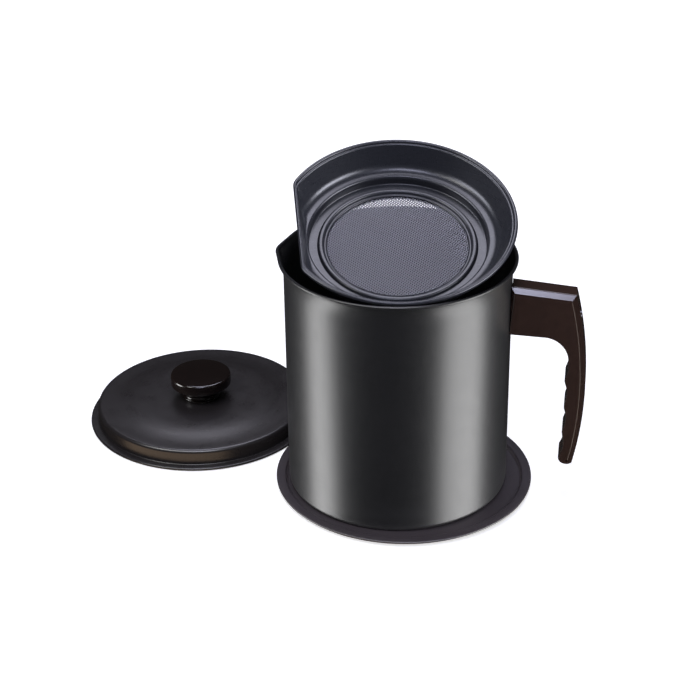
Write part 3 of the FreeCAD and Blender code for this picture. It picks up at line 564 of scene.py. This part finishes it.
def screw_recess():
    """Round cutter for the recess in which the screw's head lies at the back of the handle."""
    low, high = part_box("handle_screw")
    bore = [(0, BORE_FLOOR), (BORE_RADIUS - BORE_CHAMFER, BORE_FLOOR),
            (BORE_RADIUS, BORE_FLOOR + BORE_CHAMFER), (BORE_RADIUS, BORE_END), (0, BORE_END)]
    cutter = spun("screw_recess", bore, segments=48)
    along = Matrix.Rotation(math.pi / 2, 4, "Y")
    cutter.data.transform(Matrix.Translation((0, 0, (low.z + high.z) / 2)) @ along)
    return cutter


def carve(piece, cutter):
    """Cuts one closed piece out of another and keeps the result as plain mesh."""
    modifier = piece.modifiers.new("cut", "BOOLEAN")
    modifier.object = cutter
    modifier.solver = "EXACT"
    graph = bpy.context.evaluated_depsgraph_get()
    mesh = bpy.data.meshes.new_from_object(piece.evaluated_get(graph))
    piece.modifiers.clear()
    piece.data = mesh
    bpy.data.objects.remove(cutter)
    mesh.shade_smooth()
    mesh.set_sharp_from_angle(angle=math.radians(SHARP_ANGLE))
    return piece


# Materials

# Length and width of the coating's crossed marks, in millimetres
MARK_LENGTH = 100 / 9
MARK_WIDTH = 0.4


def linear(hex_colour):
    """Linear colour of an sRGB hex value."""
    channels = []
    for start in (1, 3, 5):
        value = int(hex_colour[start:start + 2], 16) / 255
        channels.append(value / 12.92 if value <= 0.04045 else ((value + 0.055) / 1.055) ** 2.4)
    return (*channels, 1.0)


def add(tree, kind, settings=None, **links):
    """Adds a node: settings are its properties, links its inputs by name or as i and a number."""
    node = tree.nodes.new(kind)
    for key, value in (settings or {}).items():
        setattr(node, key, value)
    for key, value in links.items():
        numbered = key[0] == "i" and key[1:].isdigit()
        target = node.inputs[int(key[1:]) if numbered else key.replace("_", " ")]
        if isinstance(value, bpy.types.NodeSocket):
            tree.links.new(value, target)
        else:
            target.default_value = value
    return node


def lighter(colour, times):
    """Linear colour made so many times brighter."""
    return [channel * times for channel in colour[:3]] + [1.0]


def per_mm(length):
    """Scale of a pattern on Object coordinates whose features are so many millimetres long."""
    return 1 / (length * MM)


def new_material(name):
    """Material with its node tree and its main shader."""
    material = bpy.data.materials.new(name)
    material.use_nodes = True
    tree = material.node_tree
    shader = tree.nodes["Principled BSDF"]
    return material, tree, shader


def nonstick(name, colour, rough):
    """Baked nonstick coating on drawn steel: a satin sheen broken by fine crossed marks."""
    material, tree, shader = new_material(name)
    place = add(tree, "ShaderNodeTexCoord").outputs["Object"]
    across, along = per_mm(MARK_WIDTH), per_mm(MARK_LENGTH)
    marks = []
    for stretch in ((across, across, along), (along, along, across)):
        spot = add(tree, "ShaderNodeMapping", Vector=place, Scale=stretch)
        marks.append(add(tree, "ShaderNodeTexNoise", Vector=spot.outputs[0], Scale=1.0, Detail=2.0))
    cross = add(tree, "ShaderNodeMath", {"operation": "ADD"},
                i0=marks[0].outputs["Fac"], i1=marks[1].outputs["Fac"])
    cloud = add(tree, "ShaderNodeTexNoise", Vector=place, Scale=per_mm(40), Detail=2.0)
    tone = add(tree, "ShaderNodeMix", {"data_type": "RGBA"}, Factor=cloud.outputs["Fac"],
               i6=linear(colour), i7=lighter(linear(colour), 1.2))
    tree.links.new(tone.outputs[2], shader.inputs["Base Color"])
    spread = add(tree, "ShaderNodeMapRange", Value=cross.outputs[0], From_Min=0.6, From_Max=1.4,
                 To_Min=rough - 0.05, To_Max=rough + 0.05)
    tree.links.new(spread.outputs["Result"], shader.inputs["Roughness"])
    bump = add(tree, "ShaderNodeBump", Height=cross.outputs[0], Strength=0.1, Distance=0.04 * MM)
    tree.links.new(bump.outputs["Normal"], shader.inputs["Normal"])
    return material


def phenolic(name, colour):
    """Compression-moulded phenolic resin: dark, deep gloss with a faint flow mottle."""
    material, tree, shader = new_material(name)
    place = add(tree, "ShaderNodeTexCoord").outputs["Object"]
    flow = add(tree, "ShaderNodeTexNoise", Vector=place, Scale=per_mm(12), Detail=4.0, Distortion=1.5)
    tone = add(tree, "ShaderNodeMix", {"data_type": "RGBA"}, Factor=flow.outputs["Fac"],
               i6=linear(colour), i7=lighter(linear(colour), 1.5))
    tree.links.new(tone.outputs[2], shader.inputs["Base Color"])
    shader.inputs["Roughness"].default_value = 0.16
    shader.inputs["IOR"].default_value = 1.6
    skin = add(tree, "ShaderNodeTexNoise", Vector=place, Scale=per_mm(3), Detail=2.0)
    bump = add(tree, "ShaderNodeBump", Height=skin.outputs["Fac"], Strength=0.03, Distance=0.1 * MM)
    tree.links.new(bump.outputs["Normal"], shader.inputs["Normal"])
    return material


def metal(name, colour, rough):
    """Bare metal: a clear but soft reflection, made uneven by fine handling marks."""
    material, tree, shader = new_material(name)
    place = add(tree, "ShaderNodeTexCoord").outputs["Object"]
    marks = add(tree, "ShaderNodeTexNoise", Vector=place, Scale=per_mm(1.5), Detail=5.0)
    spread = add(tree, "ShaderNodeMapRange", Value=marks.outputs["Fac"],
                 To_Min=rough - 0.08, To_Max=rough + 0.1)
    tree.links.new(spread.outputs["Result"], shader.inputs["Roughness"])
    shader.inputs["Base Color"].default_value = linear(colour)
    shader.inputs["Metallic"].default_value = 1.0
    return material


# Mesh of the strainer

def weave_tree(material):
    """Round disc of wires woven over and under, with the identifiers of the tree's inputs."""
    tree = bpy.data.node_groups.new("woven_wire_disc", "GeometryNodeTree")
    face = tree.interface
    names = {}
    for name in ("radius", "pitch", "wire"):
        names[name] = face.new_socket(name, in_out="INPUT", socket_type="NodeSocketFloat").identifier
    face.new_socket("Geometry", in_out="OUTPUT", socket_type="NodeSocketGeometry")
    sizes = add(tree, "NodeGroupInput").outputs

    def maths(operation, *values):
        node = add(tree, "ShaderNodeMath", {"operation": operation})
        for number, value in enumerate(values):
            if isinstance(value, bpy.types.NodeSocket):
                tree.links.new(value, node.inputs[number])
            else:
                node.inputs[number].default_value = value
        return node.outputs[0]

    radius, pitch, wire = sizes["radius"], sizes["pitch"], sizes["wire"]
    count = maths("FLOOR", maths("DIVIDE", maths("MULTIPLY", radius, 2.0), pitch))
    reach = maths("MULTIPLY", maths("DIVIDE", count, 2.0), pitch)
    back = maths("MULTIPLY", reach, -1.0)
    start = add(tree, "ShaderNodeCombineXYZ", X=back).outputs[0]
    end = add(tree, "ShaderNodeCombineXYZ", X=reach).outputs[0]
    line = add(tree, "GeometryNodeCurvePrimitiveLine", Start=start, End=end)
    fine = add(tree, "GeometryNodeResampleCurve", Curve=line.outputs["Curve"],
               Count=maths("ADD", maths("MULTIPLY", count, 2.0), 1.0))
    stacks = []
    for turned in (False, True):
        index = add(tree, "GeometryNodeInputIndex").outputs[0]
        row_start = add(tree, "ShaderNodeCombineXYZ", Y=back).outputs[0]
        step = add(tree, "ShaderNodeCombineXYZ", Y=pitch).outputs[0]
        rows = add(tree, "GeometryNodeMeshLine", Count=maths("ADD", count, 1.0),
                   Start_Location=row_start, Offset=step)
        wires = add(tree, "GeometryNodeInstanceOnPoints", Points=rows.outputs["Mesh"],
                    Instance=fine.outputs["Curve"])
        parity = maths("MULTIPLY", maths("MODULO", index, 2.0), math.pi)
        stored = add(tree, "GeometryNodeStoreNamedAttribute", {"data_type": "FLOAT", "domain": "INSTANCE"},
                     Geometry=wires.outputs["Instances"], Name="parity")
        tree.links.new(parity, stored.inputs["Value"])
        real = add(tree, "GeometryNodeRealizeInstances", Geometry=stored.outputs["Geometry"])
        where = add(tree, "GeometryNodeInputPosition").outputs[0]
        axes = add(tree, "ShaderNodeSeparateXYZ", Vector=where).outputs
        phase = add(tree, "GeometryNodeInputNamedAttribute", {"data_type": "FLOAT"}, Name="parity")
        turns = maths("MULTIPLY", maths("DIVIDE", axes[0], pitch), math.pi)
        wave = maths("COSINE", maths("ADD", turns, phase.outputs[0]))
        rise = maths("MULTIPLY", wave, maths("MULTIPLY", wire, -1.0 if turned else 1.0))
        lift = add(tree, "ShaderNodeCombineXYZ", Z=rise).outputs[0]
        moved = add(tree, "GeometryNodeSetPosition", Geometry=real.outputs["Geometry"], Offset=lift)
        result = moved.outputs["Geometry"]
        if turned:
            swing = add(tree, "GeometryNodeTransform", Geometry=result, Rotation=(0, 0, math.pi / 2))
            result = swing.outputs["Geometry"]
        stacks.append(result)
    both = add(tree, "GeometryNodeJoinGeometry")
    for stack in stacks:
        tree.links.new(stack, both.inputs[0])
    place = add(tree, "GeometryNodeInputPosition").outputs[0]
    away = add(tree, "ShaderNodeVectorMath", {"operation": "LENGTH"}, i0=place).outputs["Value"]
    outside = add(tree, "FunctionNodeCompare", {"data_type": "FLOAT", "operation": "GREATER_THAN"},
                  A=away, B=radius)
    cut = add(tree, "GeometryNodeDeleteGeometry", {"domain": "POINT"}, Geometry=both.outputs[0],
              Selection=outside.outputs[0])
    ring = add(tree, "GeometryNodeCurvePrimitiveCircle", Resolution=4, Radius=wire)
    solid = add(tree, "GeometryNodeCurveToMesh", Curve=cut.outputs[0], Profile_Curve=ring.outputs["Curve"],
                Fill_Caps=True)
    whole = add(tree, "GeometryNodeRealizeInstances", Geometry=solid.outputs["Mesh"])
    dressed = add(tree, "GeometryNodeSetMaterial", Geometry=whole.outputs[0], Material=material)
    tree.links.new(dressed.outputs[0], add(tree, "NodeGroupOutput").inputs[0])
    return tree, names


def grown(name, tree, values, move):
    """Plain mesh of a node tree's result, put in place."""
    carrier = bpy.data.objects.new(name + "_source", bpy.data.meshes.new(name + "_source"))
    bpy.context.scene.collection.objects.link(carrier)
    modifier = carrier.modifiers.new("grow", "NODES")
    modifier.node_group = tree
    for identifier, value in values.items():
        modifier[identifier] = value
    graph = bpy.context.evaluated_depsgraph_get()
    mesh = bpy.data.meshes.new_from_object(carrier.evaluated_get(graph))
    carrier.modifiers.clear()
    bpy.data.objects.remove(carrier)
    mesh.transform(move)
    piece = bpy.data.objects.new(name, mesh)
    bpy.context.scene.collection.objects.link(piece)
    return piece


def make_net(material):
    """Woven mesh under the strainer's window."""
    tree, names = weave_tree(material)
    sizes = {"radius": MESH_RADIUS, "pitch": WEAVE_PITCH, "wire": WIRE_RADIUS}
    values = {names[name]: size * MM for name, size in sizes.items()}
    low = Matrix.Translation((0, 0, -(SUMP_DEPTH + MESH_DROP) * MM))
    return grown("woven_mesh", tree, values, pan_place() @ low)


# Finish of each piece

def wear(piece, material):
    """Gives a piece this one material."""
    piece.data.materials.clear()
    piece.data.materials.append(material)


def dress(piece, material, body, node):
    """Finish for a piece, the body it rides on and the CAD node it stands for."""
    wear(piece, material)
    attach(piece, body)
    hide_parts(node)


# Deep black satin of the can, whose sides show long soft highlights
COATING = nonstick("satin_nonstick_coating", "#0f0f11", 0.36)

# The tray's duller and slightly warm black, which reads lighter than the can's foot
TRAY_COATING = nonstick("tray_nonstick_coating", "#272326", 0.38)

# The lid's shinier black, which mirrors a soft patch on its crown
LID_COATING = nonstick("lid_nonstick_coating", "#181617", 0.3)

# The strainer's cool slate black, bright along its bend
PAN_COATING = nonstick("slate_nonstick_coating", "#1b1c20", 0.3)

# The handle's red-brown black with sharp bright edges
PHENOLIC = phenolic("moulded_phenolic", "#33251f")

# The knob's near-black gloss
KNOB_PHENOLIC = phenolic("dark_phenolic", "#120c0a")

# Light grey metal of the fixings
ZINC = metal("zinc_plated_steel", "#a6a9ae", 0.4)

# Mid-grey wire that glints at its crossings
WIRE = metal("stainless_wire", "#8c8c91", 0.35)

# Yellow metal of the knob's insert
BRASS = metal("turned_brass", "#c8a558", 0.3)

dress(make_can(), COATING, "can", "can_body")
dress(make_tray(), TRAY_COATING, "tray", "coaster_tray")
dress(make_lid(), LID_COATING, "lid", "lid_cover")
dress(make_knob(), KNOB_PHENOLIC, "lid", "lid_knob")
dress(make_pan(), PAN_COATING, "strainer", "strainer_pan")
dress(make_grip(), PHENOLIC, "can", "handle_grip")
dress(make_net(WIRE), WIRE, "strainer", "strainer_mesh")

for node in ("handle_bracket", "handle_nut", "handle_screw", "handle_washer", "knob_washer", "knob_screw"):
    wear(frame["nodes"][node], ZINC)
wear(frame["nodes"]["knob_insert"], BRASS)
wear(frame["nodes"]["mesh_clamp"], PAN_COATING)


# Stage, light and camera

def make_floor():
    """Matt floor that casts no shadow of its own and brightens towards white for the camera."""
    bpy.ops.mesh.primitive_plane_add(size=FLOOR_SIZE, location=(0, 0, -FLOOR_GAP * MM))
    floor = bpy.context.object
    floor.name = "floor"
    material, tree, shader = new_material("pale_floor")
    shader.inputs["Base Color"].default_value = linear("#e8e8e8")
    shader.inputs["Roughness"].default_value = 0.9
    path = add(tree, "ShaderNodeLightPath").outputs
    spot = add(tree, "ShaderNodeTexCoord").outputs["Object"]
    reach = add(tree, "ShaderNodeVectorMath", {"operation": "LENGTH"}, i0=spot).outputs["Value"]
    level = add(tree, "ShaderNodeMapRange", Value=reach, From_Min=FADE_START, From_Max=FADE_END,
                To_Min=GLOW_NEAR, To_Max=GLOW_FAR)
    glow = add(tree, "ShaderNodeEmission", Color=(1, 1, 1, 1), Strength=level.outputs["Result"])
    both = add(tree, "ShaderNodeAddShader", i0=shader.outputs[0], i1=glow.outputs[0])
    pick = add(tree, "ShaderNodeMixShader", i0=path["Is Camera Ray"],
               i1=shader.outputs[0], i2=both.outputs[0])
    tree.links.new(pick.outputs[0], tree.nodes["Material Output"].inputs["Surface"])
    floor.data.materials.append(material)
    floor.visible_glossy = False
    floor.visible_shadow = False


def make_world():
    """White studio to the camera, nearly dark to the part."""
    world = bpy.data.worlds.new("studio")
    bpy.context.scene.world = world
    world.use_nodes = True
    tree = world.node_tree
    shade = tree.nodes["Background"]
    path = add(tree, "ShaderNodeLightPath").outputs
    level = add(tree, "ShaderNodeMix", {"data_type": "FLOAT"}, Factor=path["Is Camera Ray"],
                A=WORLD_FILL, B=WORLD_SEEN)
    tree.links.new(level.outputs[0], shade.inputs["Strength"])
    shade.inputs["Color"].default_value = (1, 1, 1, 1)


def panel_light(name, azimuth, elevation, distance, size, power, colour="#ffffff", target=(0, 0, 0.07)):
    data = bpy.data.lights.new(name, "AREA")
    data.shape = "RECTANGLE"
    data.size, data.size_y = size
    data.energy = power
    data.color = linear(colour)[:3]
    lamp = bpy.data.objects.new(name, data)
    bpy.context.scene.collection.objects.link(lamp)
    turn, rise = math.radians(azimuth), math.radians(elevation)
    away = Vector((math.sin(turn) * math.cos(rise), -math.cos(turn) * math.cos(rise), math.sin(rise)))
    lamp.location = Vector(target) + away * distance
    lamp.rotation_euler = (-away).to_track_quat("-Z", "Y").to_euler()
    return lamp


def flag(lamp, names, state="EXCLUDE"):
    """Shades some pieces from a lamp, as a photographer's flag does, or keeps it for them alone."""
    group = bpy.data.collections.new(lamp.name + "_flag")
    for name in names:
        group.objects.link(bpy.data.objects[name])
    for entry in group.collection_objects:
        entry.light_linking.link_state = state
    lamp.light_linking.receiver_collection = group
    return lamp


def pass_by(lamp, name):
    """Lets a lamp's light through one piece, so that it reaches what the piece would shade."""
    group = bpy.data.collections.new(lamp.name + "_pass")
    group.objects.link(bpy.data.objects[name])
    group.collection_objects[0].light_linking.link_state = "EXCLUDE"
    lamp.light_linking.blocker_collection = group


def make_lamps():
    """Two tall panels for the can's sides, a canopy for level faces, small cards for edges and bends."""
    can, tray, lid, pan = "can_shell", "tray_shell", "lid_shell", "strainer_pan_shell"
    knob, grip = "lid_knob_moulding", "handle_moulding"
    mouth = (0, 0, 0.15)
    grip_side = (0.1, 0, 0.08)
    lid_middle = [length * MM for length in (*middle("lid_cover"), 10)]

    left = panel_light("left_panel", -77, -16, 1.15, (0.5, 1.5), 20)
    right = panel_light("right_panel", 76, -16, 1.15, (0.85, 1.5), 33)
    pass_by(flag(left, [lid, pan]), tray)
    pass_by(flag(right, [lid, knob, grip, pan]), tray)

    panel_light("canopy", 187, 68, 1.2, (0.8, 0.6), 9, "#ececff")
    panel_light("front_panel", 0, 59, 1.3, (0.5, 0.3), 6, "#e0e2ff")
    panel_light("edge_card", -52, 48, 1.2, (0.3, 0.3), 3)

    rim_card = panel_light("rim_card", -22, 55, 1.3, (1.6, 0.5), 16)
    tray_card = panel_light("tray_card", 35, 35, 1.3, (0.8, 0.4), 10, "#e8ecff")
    right_bend = panel_light("bend_card", 74, 28, 1.15, (0.8, 0.4), 18, "#eef0ff", mouth)
    left_bend = panel_light("bend_card", -72, 28, 1.15, (0.8, 0.4), 10, "#eef0ff", mouth)
    handle_card = panel_light("handle_card", 45, -30, 1.1, (0.15, 0.8), 3, "#fff0e4", grip_side)
    warm_card = panel_light("warm_card", -20, -30, 0.9, (2.2, 0.5), 5.5, "#ffdcb8", lid_middle)
    crown_card = panel_light("crown_card", 200, 48, 1.2, (0.5, 0.15), 1.1, "#f4f2ff", lid_middle)
    for card, lit in ((rim_card, [lid, tray, can]), (tray_card, [tray]), (right_bend, [pan]),
                      (left_bend, [pan]), (handle_card, [grip]), (warm_card, [lid, tray]),
                      (crown_card, [lid])):
        flag(card, lit, "INCLUDE")


def make_camera():
    """Camera at the photograph's viewpoint, swung round the can's axis by the handle's turn."""
    distance = CAMERA_DISTANCE * CAN_RADIUS * MM
    rise, yaw = math.radians(CAMERA_RISE), math.radians(CAMERA_YAW)
    pitch, roll = math.radians(CAMERA_PITCH), math.radians(CAMERA_ROLL)
    turn = math.radians(HANDLE_TURN)
    place = Matrix.Translation((0, -distance * math.cos(rise), distance * math.sin(rise)))
    look = Vector((math.sin(yaw) * math.cos(pitch), math.cos(yaw) * math.cos(pitch), -math.sin(pitch)))
    level = Vector((math.cos(yaw), -math.sin(yaw), 0))
    above = level.cross(look)
    right = level * math.cos(roll) + above * math.sin(roll)
    up = above * math.cos(roll) - level * math.sin(roll)
    axes = Matrix((right, up, -look)).transposed().to_4x4()
    data = bpy.data.cameras.new("camera")
    data.sensor_width = SENSOR_WIDTH
    data.lens = FOCAL_LENGTH / PHOTO_WIDTH * SENSOR_WIDTH
    camera = bpy.data.objects.new("camera", data)
    bpy.context.scene.collection.objects.link(camera)
    camera.matrix_world = Matrix.Rotation(turn, 4, "Z") @ place @ axes
    bpy.context.scene.camera = camera


make_floor()
make_world()
make_lamps()
make_camera()
bpy.context.scene.view_settings.view_transform = "Standard"
